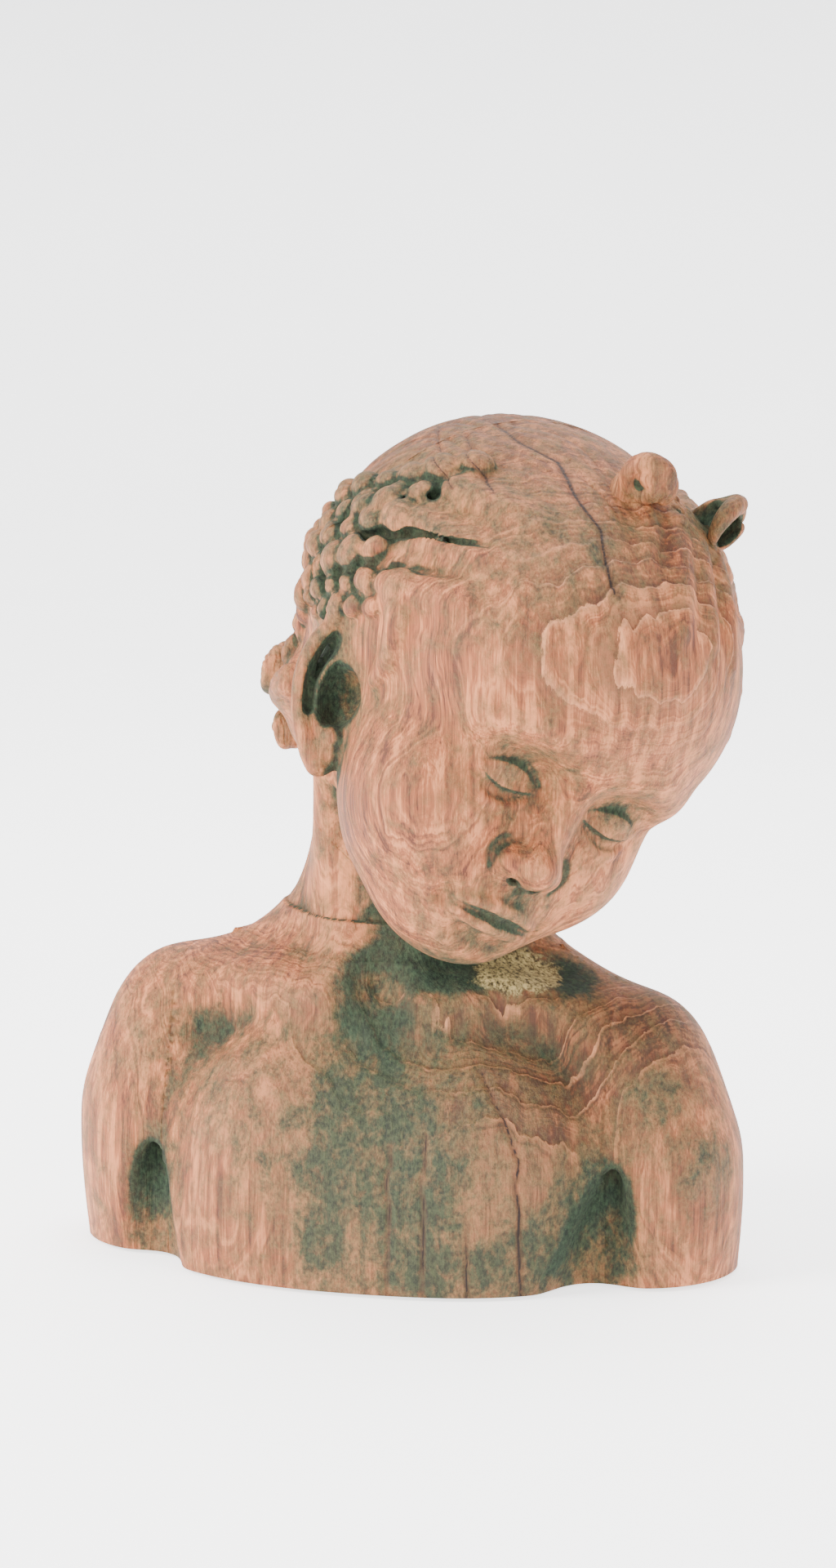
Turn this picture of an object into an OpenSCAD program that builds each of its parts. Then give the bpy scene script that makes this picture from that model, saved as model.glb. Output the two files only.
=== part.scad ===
// Bust of a child carved from glued-up wooden blocks, with its head bowed towards its left shoulder.
// Front is -Y and up is +Z. The origin is the middle of the felt that the bust rests on.
// Each block is a form given by its distance function, sampled along rays, then cut by the glue planes.

/* [Overall] */
// Height of the felt under the bust
felt_t = 1.6; // [1:0.1:3]
// Distance of each arm's glue plane from the middle
arm_plane = 90; // [86:1:92]
// Depth of the glue plane between chest and back
chest_plane = 12; // [6:1:20]
// Height of the glue plane under the neck
neck_plane = 129; // [125:1:133]

/* [Head] */
// How far the head is bowed forwards
head_pitch = 24; // [20:1:28]
// How far the head leans to its left shoulder
head_roll = 26; // [22:1:30]
// How far the head is turned to its left
head_yaw = 50; // [46:1:54]
// Depth of the glue plane behind the ears, in the head's own frame
skull_plane = 34; // [30:1:40]

/* [Joinery] */
// Diameter of the small glue dowels
dowel_d = 8; // [6:1:10]
// Diameter of the neck peg
neck_peg_d = 22; // [16:1:26]
// Diameter of the pegs that hold the carved curls
curl_peg_d = 5; // [4:0.5:6]
// Gap round each dowel for glue
glue_gap = 0.15; // [0.1:0.05:0.3]

/* [Base] */
// Thickness of the board that closes the hollow
board_t = 9; // [6:1:12]
// Radius of the round ends of the base board
board_r = 32; // [28:1:34]
// Distance between the centres of those ends
board_span = 60; // [52:1:64]

/* [Hidden] */
WOOD = [0.78, 0.56, 0.44];
OAK = [0.62, 0.46, 0.30];
BRASS = [0.70, 0.58, 0.32];
FELT = [0.10, 0.20, 0.16];
FAR = 400;
HOLE_FN = 24;
foot = felt_t;
// The trunk's forms are placed this much above the felt's underside
trunk_lift = 3;
head_at = [43, -13, 236];
body_steps = 12;
body_angles = 72;
head_angles = 60;
head_rings = 40;
arm_angles = 36;
neck_angles = 40;

// Where the topknot is glued, in the head's frame: a point on its flat and how far the flat leans forwards
topknot_at = [0, -22, 90];
topknot_tilt = 15;
topknot_step = 18;
// Slope of the glue plane between neck and head, in the head's frame
seat_slope = 11;
// The nape's curls, in the head's frame: a point on the flat, the flat's tilt and turn, and the ball's radius
nape_curls = [
    [[-30, 76, -54], [-112, 38], 11],
    [[-22, 65, -70], [-138, 44], 8],
    [[-6, 69, -74], [-146, 10], 6],
];

// ---- distance functions, in millimetres, negative inside ----
function smooth_min(a, b, k) = let (h = max(k - abs(a - b), 0) / k) min(a, b) - h * h * k / 4;
function smooth_cut(a, b, k) = -smooth_min(-a, b, k);
function over(v, r) = [v.x / r.x, v.y / r.y, v.z / r.z];
function ball(p, c, r) =
    let (u = over(p - c, r), n = norm(u))
    n * (n - 1) / max(norm(over(u, r)), 1e-6);
function rod(p, a, b, ra, rb) =
    let (ab = b - a, t = max(0, min(1, (p - a) * ab / (ab * ab))))
    norm(p - a - t * ab) - (ra + (rb - ra) * t);

// Blends the shapes of list s into f one after another: [kind, k, distance], where kind 1 adds and -1 cuts
function blend(f, s, i = 0) =
    i == len(s) ? f
    : blend(s[i][0] > 0 ? smooth_min(f, s[i][2], s[i][1]) : smooth_cut(f, s[i][2], s[i][1]), s, i + 1);

function turned(v) = turn_z(turn_y(turn_x(v, head_pitch), head_roll), head_yaw);
function turn_x(v, a) = [v.x, v.y * cos(a) - v.z * sin(a), v.y * sin(a) + v.z * cos(a)];
function turn_y(v, a) = [v.x * cos(a) + v.z * sin(a), v.y, -v.x * sin(a) + v.z * cos(a)];
function turn_z(v, a) = [v.x * cos(a) - v.y * sin(a), v.x * sin(a) + v.y * cos(a), v.z];
neck_foot = [-9, 15, 84];
neck_top = head_at + turned([0, 28, -46]);

// One side of the trunk: s is -1 for the right side and 1 for the left, whose shoulder hangs lower
function side(p, s) =
    let (drop = s > 0 ? 9 : 0)
    [
        [1, 26, ball(p, [s * 36, -31, 46], [46, 31, 48])],
        [1, 24, ball(p, [s * 44, 40, 62], [38, 24, 46])],
        [1, 22, ball(p, [s * 98, 7, 42 - drop], [36, 41, 70])],
        [1, 16, rod(p, [s * 101, 8, -30], [s * 101, 8, 50 - drop], 33, 33)],
        [1, 34, rod(p, [s * 12, 18, 132], [s * 88, 12, 91 - drop], 20, 19)],
    ];
function side_cuts(p, s) =
    [
        [1, 16, rod(p, [s * 8, -32, 110], [s * 78, -12, 108], 6, 6)],
        [-1, 10, rod(p, [s > 0 ? 86 : -97, -50, -24], [s * 94, -28, 46], 20, 2)],
        [-1, 12, rod(p, [s * 84, 64, -20], [s * 88, 42, 40], 16, 2)],
    ];
function body(w) =
    let (p = w - [0, 0, trunk_lift], up = [0, 0, -trunk_lift])
    blend(ball(p, [0, 4, 16], [88, 62, 112]), concat(
        side(p, -1), side(p, 1),
        [
            [1, 22, ball(p, [-7, -26, 2], [86, 38, 52])],
            [1, 30, rod(p, neck_foot + up, neck_top + up, 44, 41)],
        ],
        side_cuts(p, -1), side_cuts(p, 1),
        [
            [-1, 14, ball(p, [0, -42, 117], [13, 12, 13])],
            [-1, 26, rod(p, [0, 86, 0], [0, 76, 120], 12, 10)],
        ]
    ));

// The head in its own frame: skull with its cap of hair, forehead, jaw, cheeks, chin and nape, then the face
function half_face(p, s) =
    [
        [1, 18, ball(p, [s * 33, -48, -36], [28, 27, 28])],
        [-1, 12, ball(p, [s * 29, -85, -6], [17, 12, 9])],
        [1, 4, ball(p, [s * 29, -66, -8], [14, 12, 12])],
    ];
function head(p) =
    blend(ball(p, [0, 13, 23], [84, 94, 80]), concat(
        [
            [1, 30, ball(p, [0, -34, 24], [64, 47, 52])],
            [1, 25, ball(p, [0, -26, -34], [56, 48, 46])],
            [1, 22, ball(p, [0, -41, -57], [45, 38, 31])],
            [1, 18, ball(p, [0, -56, -77], [23, 20, 14])],
            [1, 24, ball(p, [-6, 52, -44], [40, 34, 34])],
        ],
        half_face(p, -1), half_face(p, 1),
        [[1, 10, rod(p, [0, -76, 2], [0, -86, -36], 6, 8)]]
    ));

// ---- rays: how far along unit direction d from o the surface of a form lies ----
function form(p, which) = which == "head" ? head(p) : body(p);
function reach(o, d, which, t = 20, n = body_steps) =
    n == 0 ? t : reach(o, d, which, max(0.5, t - 0.85 * form(o + t * d, which)), n - 1);

// A closed skin from rings of points, each ring with the same number of points
function skin_faces(rings, n) =
    concat(
        [[for (j = [0:n - 1]) j]],
        [for (i = [0:rings - 2], j = [0:n - 1])
            let (a = i * n + j, b = i * n + (j + 1) % n)
            each [[a, a + n, b], [b, a + n, b + n]]],
        [[for (j = [n - 1:-1:0]) (rings - 1) * n + j]]
    );
module skin(rings) {
    n = len(rings[0]);
    polyhedron(points = [for (r = rings) each r], faces = skin_faces(len(rings), n), convexity = 6);
}
function level_ring(c, n) = [for (j = [0:n - 1])
    let (d = [cos(360 * j / n), sin(360 * j / n), 0]) c + reach(c, d, "body") * d];

// ---- whole forms, before the glue planes cut them into blocks ----
module trunk_form() {
    low = [for (i = [0:11]) foot + i * 8];
    high = [for (i = [1:12]) foot + 88 + (neck_plane - foot - 88) * i / 12];
    skin([for (z = concat(low, high)) level_ring([0, 12, z], body_angles)]);
}
module arm_form(s) {
    base = [s * 99, 8, foot];
    top = reach(base, [0, 0, 1], "body");
    skin([for (i = [0:16]) level_ring(base + [0, 0, top * sin(88 * i / 16)], arm_angles)]);
}
module neck_form() {
    skin([for (i = [0:12])
        let (z = neck_plane + (neck_top.z - neck_plane) * i / 12,
             t = (z - neck_foot.z) / (neck_top.z - neck_foot.z))
        level_ring(neck_foot + t * (neck_top - neck_foot), neck_angles)]);
}
module head_form() {
    skin([for (i = [0:head_rings])
        let (lat = -89 + 178 * i / head_rings)
        [for (j = [0:head_angles - 1])
            let (lon = 360 * j / head_angles, d = [cos(lat) * cos(lon), cos(lat) * sin(lon), sin(lat)])
            reach([0, 0, 0], d, "head", 60, 16) * d]]);
    for (s = [-1, 1]) translate([s * 67, 4, -30]) rotate([-12, s * 8, s * 14])
        resize([18, 32, 54]) sphere(r = 20, $fn = 32);
}
// Everything above the slanted glue plane between neck and head
module above_neck() {
    in_head_frame() translate([0, -62, -100]) rotate([seat_slope, 0, 0])
        translate([-FAR, -FAR, 0]) cube([2 * FAR, 2 * FAR, FAR]);
}

// ---- helpers ----
// The same size in and out: it hands a cut form over as one mesh
module meshed() { resize([0, 0, 0]) children(); }
module in_head_frame() {
    translate(head_at) rotate([0, 0, head_yaw]) rotate([0, head_roll, 0]) rotate([head_pitch, 0, 0])
        children();
}
module at_topknot() { in_head_frame() translate(topknot_at) rotate([topknot_tilt, 0, 0]) children(); }
module at_nape(c) { in_head_frame() translate(c[0]) rotate([c[1][0], 0, c[1][1]]) children(); }
module half(lo, hi) { translate(lo) cube(hi - lo); }
module hole(d, h) {
    cylinder(d = (d + 2 * glue_gap) / cos(180 / HOLE_FN), h = h, center = true, $fn = HOLE_FN);
}
module peg(d, h) { cylinder(d = d, h = h, center = true, $fn = 48); }
module ring(r, t) { rotate_extrude($fn = 48) translate([r, 0]) circle(r = t, $fn = 32); }

// ---- dowels, pegs and screws: each list is used for the piece and for its hole ----
screw_at = [for (x = [-1, 1]) [x * (board_span / 2 + 19), 6, foot]];
screw_r = 2;
screw_l = 26;
screw_head_r = 4;
screw_head_h = 2.4;
hollow_w = 84;
torso_dowel_at = [for (x = [-58, 58], z = [40, 92]) [x, chest_plane, z]];
shoulder_dowel_at = [for (s = [-1, 1], z = [48, 76]) [s * arm_plane, 8, z]];
skull_dowel_at = [[-56, skull_plane, 20], [56, skull_plane, 20], [0, skull_plane, 80]];
torso_dowel_h = 24;
shoulder_dowel_h = 36;
skull_dowel_h = 24;
curl_peg_h = 14;
neck_peg_low = 96;
neck_peg_high = 222;
module torso_dowel_places() { for (p = torso_dowel_at) translate(p) rotate([90, 0, 0]) children(); }
module shoulder_dowel_places() { for (p = shoulder_dowel_at) translate(p) rotate([0, 90, 0]) children(); }
module skull_dowel_places() {
    in_head_frame() for (p = skull_dowel_at) translate(p) rotate([90, 0, 0]) children();
}
module neck_peg_place() {
    lean = neck_top - neck_foot;
    translate(neck_foot) rotate([0, atan2(norm([lean.x, lean.y]), lean.z), atan2(lean.y, lean.x)])
        translate([0, 0, (neck_peg_low + neck_peg_high) / 2 - neck_foot.z]) children();
}
module curl_peg_places() {
    at_topknot() for (s = [-1, 0, 1]) translate([s * topknot_step, 0, 0]) children();
    for (c = nape_curls) at_nape(c) children();
}

// Flat-bottomed seats cut into the head for the curls
module seat(r) { cylinder(r = r + 0.3, h = 40, $fn = 48); }
module curl_seats() {
    at_topknot() {
        for (s = [-1, 1]) translate([s * (topknot_step + 2), 0, 0]) seat(loop_r(s) + loop_t);
        seat(knot_r);
    }
    for (c = nape_curls) at_nape(c) seat(c[2]);
}

// ---- the torso ----
module hollow() {
    translate([0, 6, 30]) resize([hollow_w, 54, 110]) sphere(r = 40, $fn = 40);
    board_shape(board_t, 0.2);
    for (p = screw_at) translate(p) hole(2 * screw_r, 2 * screw_l + 2);
}
module board_shape(h, gap) {
    translate([0, 6, foot]) for (s = [-1, 1]) {
        translate([s * board_span / 2, 0, 0]) cylinder(r = board_r + gap, h = h, $fn = 64);
        translate([-board_span / 2, -board_r - gap, 0]) cube([board_span, 2 * (board_r + gap), h]);
    }
}
module trunk_block(lo, hi) {
    color(WOOD) meshed() difference() {
        intersection() { trunk_form(); half(lo, hi); }
        hollow();
        torso_dowel_places() hole(dowel_d, torso_dowel_h + 2);
        shoulder_dowel_places() hole(dowel_d, shoulder_dowel_h + 2);
        neck_peg_place() hole(neck_peg_d, neck_peg_high - neck_peg_low + 2);
    }
}
module chest_block() { trunk_block([-arm_plane, -FAR, foot], [arm_plane, chest_plane, FAR]); }
module back_block() { trunk_block([-arm_plane, chest_plane, foot], [arm_plane, FAR, FAR]); }
module arm_block(s) {
    color(WOOD) meshed() difference() {
        arm_form(s);
        half([s > 0 ? -FAR : -arm_plane, -FAR, -FAR], [s > 0 ? arm_plane : FAR, FAR, FAR]);
        shoulder_dowel_places() hole(dowel_d, shoulder_dowel_h + 2);
    }
}
module right_arm_block() { arm_block(-1); }
module left_arm_block() { arm_block(1); }
module neck_block() {
    color(WOOD) meshed() difference() {
        neck_form();
        above_neck();
        neck_peg_place() hole(neck_peg_d, neck_peg_high - neck_peg_low + 2);
    }
}

// ---- the head ----
module skull_block() {
    color(WOOD) meshed() difference() {
        intersection() {
            union() { in_head_frame() head_form(); neck_form(); }
            above_neck();
            children();
        }
        curl_seats();
        neck_peg_place() hole(neck_peg_d, neck_peg_high - neck_peg_low + 2);
        skull_dowel_places() hole(dowel_d, skull_dowel_h + 2);
        curl_peg_places() hole(curl_peg_d, curl_peg_h + 2);
    }
}
module face_block() { skull_block() in_head_frame() half([-FAR, -FAR, -FAR], [FAR, skull_plane, FAR]); }
module back_of_head_block() {
    skull_block() in_head_frame() half([-FAR, skull_plane, -FAR], [FAR, FAR, FAR]);
}

// ---- carved curls, each standing on a flat seat with its own peg ----
loop_t = 5;
knot_r = 10;
function loop_r(s) = 8 + s;
module curl() {
    color(WOOD) difference() {
        intersection() { union() children(); translate([-60, -60, 0]) cube([120, 120, 60]); }
        hole(curl_peg_d, curl_peg_h + 1);
    }
}
// One side's loop of the topknot: s is -1 for the right one, and 1 for the left one, which is larger
module topknot_loop(s) {
    at_topknot() translate([s * topknot_step, 0, 0]) curl() {
        translate([s * 2, 0, 15]) rotate([90, 0, s * 30]) ring(loop_r(s), loop_t);
        cylinder(r = 8, h = 7, $fn = 48);
    }
}
module topknot_right_loop() { topknot_loop(-1); }
module topknot_left_loop() { topknot_loop(1); }
module topknot_knot() {
    at_topknot() curl() intersection() {
        translate([0, 0, 5]) sphere(r = knot_r, $fn = 40);
        translate([-4, -20, -10]) cube([8, 40, 40]);
    }
}
module nape_curl(c) { at_nape(c) curl() translate([0, 0, c[2] * 0.55]) sphere(r = c[2], $fn = 40); }
module nape_curl_upper() { nape_curl(nape_curls[0]); }
module nape_curl_lower() { nape_curl(nape_curls[1]); }
module nape_curl_small() { nape_curl(nape_curls[2]); }

// ---- hidden joinery ----
module torso_dowels() { color(OAK) torso_dowel_places() peg(dowel_d, torso_dowel_h); }
module shoulder_dowels() { color(OAK) shoulder_dowel_places() peg(dowel_d, shoulder_dowel_h); }
module skull_dowels() { color(OAK) skull_dowel_places() peg(dowel_d, skull_dowel_h); }
module neck_peg() { color(OAK) neck_peg_place() peg(neck_peg_d, neck_peg_high - neck_peg_low); }
module curl_pegs() { color(OAK) curl_peg_places() peg(curl_peg_d, curl_peg_h); }

// ---- the base ----
module base_board() {
    color(OAK) difference() {
        board_shape(board_t, 0);
        for (p = screw_at) translate(p) {
            translate([0, 0, -1]) cylinder(r = screw_r + glue_gap, h = board_t + 2, $fn = 32);
            cylinder(r1 = screw_head_r + glue_gap, r2 = screw_r + glue_gap, h = screw_head_h, $fn = 40);
        }
    }
}
module base_screws() {
    color(BRASS) for (p = screw_at) translate(p) {
        cylinder(r1 = screw_head_r, r2 = screw_r, h = screw_head_h, $fn = 40);
        cylinder(r = screw_r, h = screw_l, $fn = 32);
    }
}
module felt_pads() {
    color(FELT) {
        translate([0, 6, 0]) cylinder(r = 45, h = felt_t, $fn = 96);
        for (s = [-1, 1]) translate([s * 102, 8, 0]) cylinder(r = 16, h = felt_t, $fn = 64);
    }
}

chest_block();
back_block();
right_arm_block();
left_arm_block();
neck_block();
face_block();
back_of_head_block();
topknot_right_loop();
topknot_left_loop();
topknot_knot();
nape_curl_upper();
nape_curl_lower();
nape_curl_small();
torso_dowels();
shoulder_dowels();
neck_peg();
skull_dowels();
curl_pegs();
base_board();
base_screws();
felt_pads();
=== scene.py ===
"""The looks of a weathered wooden bust of a child, carved from glued-up blocks.

Every form is a signed distance in millimetres, in the frame's own axes: the chest faces -Y and up is +Z.
The forms are blended like clay, turned into meshes by surface nets and cut into the CAD model's blocks.
Growth rings, drying checks and hair strands are then carved into the meshes, and one wood material colours
them.
"""
import math
from concurrent.futures import ThreadPoolExecutor
import bpy
import numpy as np
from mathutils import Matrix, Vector


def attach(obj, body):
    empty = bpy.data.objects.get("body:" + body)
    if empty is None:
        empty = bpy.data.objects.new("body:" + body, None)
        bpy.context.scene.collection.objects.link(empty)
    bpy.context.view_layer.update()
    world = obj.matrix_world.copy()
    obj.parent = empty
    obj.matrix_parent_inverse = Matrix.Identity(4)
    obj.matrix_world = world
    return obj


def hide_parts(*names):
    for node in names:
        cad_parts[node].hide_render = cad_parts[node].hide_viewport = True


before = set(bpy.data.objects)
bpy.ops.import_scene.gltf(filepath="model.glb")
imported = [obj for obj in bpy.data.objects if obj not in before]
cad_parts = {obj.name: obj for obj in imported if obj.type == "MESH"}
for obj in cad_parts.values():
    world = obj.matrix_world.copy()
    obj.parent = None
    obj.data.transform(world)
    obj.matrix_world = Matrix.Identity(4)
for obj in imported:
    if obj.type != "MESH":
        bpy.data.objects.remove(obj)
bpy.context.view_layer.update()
MM = 0.001
FAR = 1e3

# ---- clay: forms given by their signed distance ----


def smooth_min(a, b, k):
    if k <= 0:
        return np.minimum(a, b)
    h = np.maximum(k - np.abs(a - b), 0) / k
    return np.minimum(a, b) - h * h * k * 0.25


def turn(axis, degrees):
    """Matrix of a rotation about a named axis."""
    c, s = math.cos(math.radians(degrees)), math.sin(math.radians(degrees))
    rows = {"x": [[1, 0, 0], [0, c, -s], [0, s, c]],
            "y": [[c, 0, s], [0, 1, 0], [-s, 0, c]],
            "z": [[c, -s, 0], [s, c, 0], [0, 0, 1]]}
    return np.array(rows[axis])


def floats(v):
    return np.asarray(v, np.float32)


class Place:
    """A frame of its own: a point and three axes, given in the frame around it."""

    def __init__(self, at, axes):
        self.at = np.asarray(at, float)
        self.axes = np.asarray(axes, float)

    def inside(self, points):
        return (points - self.at) @ self.axes

    def outside(self, points):
        return self.at + np.asarray(points, float) @ self.axes.T

    def within(self, outer):
        """This place, given in the frame around the outer one."""
        return Place(outer.outside(self.at), outer.axes @ self.axes)


class Clay:
    """A form that grows by blending shapes. Its distances hold up to reach from a surface."""

    def __init__(self, points, reach):
        self.p = floats(points)
        self.f = np.full(len(self.p), FAR, np.float32)
        self.reach = reach
        self.low = self.p.min(0) if len(self.p) else np.zeros(3)
        self.high = self.p.max(0) if len(self.p) else np.zeros(3)

    def blend(self, low, high, distance, k, cut):
        pad = k + self.reach
        if (self.high < low - pad).any() or (self.low > high + pad).any():
            return
        near = np.all((self.p > low - pad) & (self.p < high + pad), axis=1).nonzero()[0]
        if len(near):
            d = distance(self.p[near])
            f = self.f[near]
            self.f[near] = -smooth_min(-f, d, k) if cut else smooth_min(f, d, k)

    def ball(self, centre, radii, k=0, cut=False, spin=None):
        c = floats(centre)
        r = floats(radii if hasattr(radii, "__len__") else (radii,) * 3)
        size = r if spin is None else np.full(3, r.max())

        def distance(p):
            q = p - c
            if spin is not None:
                q = q @ floats(spin)
            n = np.sqrt(((q / r) ** 2).sum(1))
            slope = np.sqrt(((q / r / r) ** 2).sum(1))
            return n * (n - 1) / np.maximum(slope, 1e-6)

        self.blend(c - size, c + size, distance, k, cut)

    def path(self, points, radii, k=0, cut=False, join=0):
        """A tube along points, whose radius changes evenly from each to the next."""
        points = floats(points)
        if not hasattr(radii, "__len__"):
            radii = [radii] * len(points)

        def distance(p):
            out = np.full(len(p), FAR, np.float32)
            for a, b, ra, rb in zip(points, points[1:], radii, radii[1:]):
                ab = b - a
                t = np.clip((p - a) @ ab / max(float(ab @ ab), 1e-9), 0, 1)
                q = p - a - t[:, None] * ab
                out = smooth_min(out, np.sqrt((q * q).sum(1)) - (ra + (rb - ra) * t), join)
            return out

        pad = max(radii)
        self.blend(points.min(0) - pad, points.max(0) + pad, distance, k, cut)

    def rod(self, a, b, ra, rb, k=0, cut=False):
        self.path([a, b], [ra, rb], k, cut)

    def add(self, near, distance, k):
        """Blends in a form that is already worked out at the points numbered in near."""
        self.f[near] = smooth_min(self.f[near], distance, k)


class Shapes:
    """A list of balls and tubes that is worked out once and blended into many clays."""

    def __init__(self):
        self.steps = []

    def ball(self, *args, **kwargs):
        self.steps.append((Clay.ball, args, kwargs))

    def path(self, *args, **kwargs):
        self.steps.append((Clay.path, args, kwargs))

    def blend_into(self, clay):
        for step, args, kwargs in self.steps:
            step(clay, *args, **kwargs)


def spread(task, points, size=30000):
    """Runs a task on points in chunks, side by side."""
    parts = np.array_split(points, max(1, len(points) // size))
    with ThreadPoolExecutor() as pool:
        return np.concatenate(list(pool.map(task, parts)))


def slope(form, p, h=0.35):
    """Value and gradient of a form at points."""
    corners = np.array([[1, 1, 1], [1, -1, -1], [-1, 1, -1], [-1, -1, 1]], float)
    values = [spread(lambda part: form(part + h * c, 12.0), p) for c in corners]
    gradient = sum(v[:, None] * c for v, c in zip(values, corners)) / (4 * h)
    return sum(values) / 4, gradient


def smooth_curve(points, steps=6):
    """Points along a smooth curve through the given ones (Catmull-Rom)."""
    p = np.asarray(points, float)
    p = np.vstack([2 * p[0] - p[1], p, 2 * p[-1] - p[-2]])
    t = np.arange(steps)[:, None] / steps
    out = []
    for a, b, c, d in zip(p, p[1:], p[2:], p[3:]):
        out.append(0.5 * (2 * b + (c - a) * t + (2 * a - 5 * b + 4 * c - d) * t ** 2
                          + (3 * b - a - 3 * c + d) * t ** 3))
    return np.vstack(out + [p[-2:-1]])


# ---- noise, the same on every run ----


def lattice(i, seed):
    """A value from 0 to 1 for each whole-numbered point."""
    h = i[..., 0] * 374761393 + i[..., 1] * 668265263 + i[..., 2] * 2147483647 + seed * 974634777
    h = (h ^ (h >> 13)) * 1274126177
    h = (h ^ (h >> 16)) & 0xFFFFFF
    return h.astype(np.float32) / 0xFFFFFF


def noise(p, size, seed=0, octaves=3):
    """Smooth noise from about -1 to 1. size is that of its largest lumps, on each axis or on all three."""
    total = np.zeros(len(p), np.float32)
    strength = 1.0
    q = np.asarray(p, float) / np.asarray(size, float)
    for octave in range(octaves):
        cell = np.floor(q).astype(np.int64)
        t = (q - cell).astype(np.float32)
        t = t * t * (3 - 2 * t)
        value = 0
        for x in (0, 1):
            for y in (0, 1):
                for z in (0, 1):
                    weight = ((t[:, 0] if x else 1 - t[:, 0]) * (t[:, 1] if y else 1 - t[:, 1])
                              * (t[:, 2] if z else 1 - t[:, 2]))
                    value = value + weight * lattice(cell + [x, y, z], seed + octave)
        total += strength * (2 * value - 1)
        strength *= 0.5
        q = q * 2.03
    return total


def ease(x, low, high):
    """0 below low, 1 above high, smooth between."""
    t = np.clip((x - low) / (high - low), 0, 1)
    return t * t * (3 - 2 * t)


# ---- the figure's dimensions, as in the CAD model ----
SIDES = (-1, 1)  # the figure's right and left
FOOT = 1.6
LIFT = 3
ARM_PLANE = 90
CHEST_PLANE = 12
NECK_PLANE = 129
SKULL_PLANE = 34
HEAD = Place((43, -13, 236), turn("z", 50) @ turn("y", 26) @ turn("x", 24))
NECK_TOP = HEAD.outside((0, 28, -46))
SEAT_SLOPE = 11  # of the glue plane between neck and head
SEAT_POINT = (0, -62, -100)  # where it lies, in the head's frame
BOARD_HALF_SPAN = 30
BOARD_R = 32
BOARD_T = 9
BOARD_Y = 6
BOARD_PLAY = 0.2
PADS = (((0, BOARD_Y), 45), ((-102, 8), 16), ((102, 8), 16))  # centre and radius of each felt disc
TOPKNOT = Place((0, -22, 90), turn("x", 15)).within(HEAD)
TOPKNOT_STEP = 18
# Place in the head's frame, tilt, swing and radius of each curl at the nape
NAPE = {"upper": ((-30, 76, -54), -112, 38, 11),
        "lower": ((-22, 65, -70), -138, 44, 8),
        "small": ((-6, 69, -74), -146, 10, 6)}

# ---- the trunk ----


def trunk(points, reach):
    c = Clay(points - np.array([0, 0, LIFT]), reach)
    up = np.array([0, 0, -LIFT])
    c.ball((0, 4, 16), (88, 62, 112))
    for s in SIDES:
        drop = 9 if s > 0 else 0
        c.ball((s * 36, -31, 46), (46, 31, 48), 26)
        c.ball((s * 44, 40, 62), (38, 24, 46), 24)
        c.ball((s * 98, 7, 42 - drop), (36, 41, 70), 22)
        c.rod((s * 101, 8, -30), (s * 101, 8, 50 - drop), 33, 33, 16)
        c.rod((s * 12, 18, 132), (s * 88, 12, 91 - drop), 20, 19, 34)
    c.ball((-7, -26, 2), (86, 38, 52), 22)
    c.rod((-8, 15, 81), NECK_TOP + up + np.array([4, 0, 0]), 43, 37, 30)
    for s in SIDES:
        drop = 9 if s > 0 else 0
        collar = [(s * 7, -38, 114), (s * 26, -37, 110), (s * 50, -25, 111), (s * 80, -10, 106 - drop)]
        c.path(smooth_curve(collar), 6, 22)
        mastoid = [HEAD.outside((s * 36, 16, -62)) + up, (s * 20, -18, 148), (s * 9, -30, 122)]
        c.path(smooth_curve(mastoid), np.linspace(5, 3, 13), 20)
        c.rod((86 * s if s > 0 else -97, -50, -24), (s * 94, -28, 46), 20, 2, 10, cut=True)
        c.rod((s * 84, 64, -20), (s * 88, 42, 40), 16, 2, 12, cut=True)
        c.path([(s * 24, 62, 92), (s * 30, 66, 60), (s * 44, 58, 44)], [7, 9, 5], 18)
    c.ball((2, -50, 117), (9, 10, 8), 16, cut=True)
    c.rod((0, 86, 0), (0, 76, 120), 12, 10, 26, cut=True)
    return c.f


# ---- the head, in its own frame: the face looks along -Y ----


def skull(c):
    """The bare head, without features, ears or hair."""
    c.ball((0, 13, 23), (82.5, 93, 79))
    c.ball((0, -34, 24), (64, 47, 52), 30)
    c.ball((0, -26, -34), (56, 48, 46), 25)
    c.ball((0, -41, -57), (45, 38, 31), 22)
    c.ball((0, -56, -77), (23, 20, 14), 18)
    c.ball((-6, 52, -44), (40, 34, 34), 24)
    for s in SIDES:
        c.ball((s * 33, -48, -36), (28, 27, 28), 18)


BARE = Shapes()


def on_head(parts, points, rise):
    """Points moved to stand a given height over the head with some parts on it, and the way out at each."""
    def form(p, reach):
        c = Clay(p, reach)
        skull(c)
        parts.blend_into(c)
        return c.f

    p = np.array(points, float)
    for _ in range(5):
        value, gradient = slope(form, p)
        out = gradient / np.maximum(np.linalg.norm(gradient, axis=1), 1e-6)[:, None]
        p = p - np.clip(value - rise, -6, 6)[:, None] * out
    return p, out


def draw(c, points, radii, k, rise=0.0, cut=False, on=BARE):
    """A tube laid along the head through some points, or a groove when cut."""
    line, _ = on_head(on, smooth_curve(points), rise)
    c.path(line, np.interp(np.linspace(0, 1, len(line)), np.linspace(0, 1, len(radii)), radii), k, cut)


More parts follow.
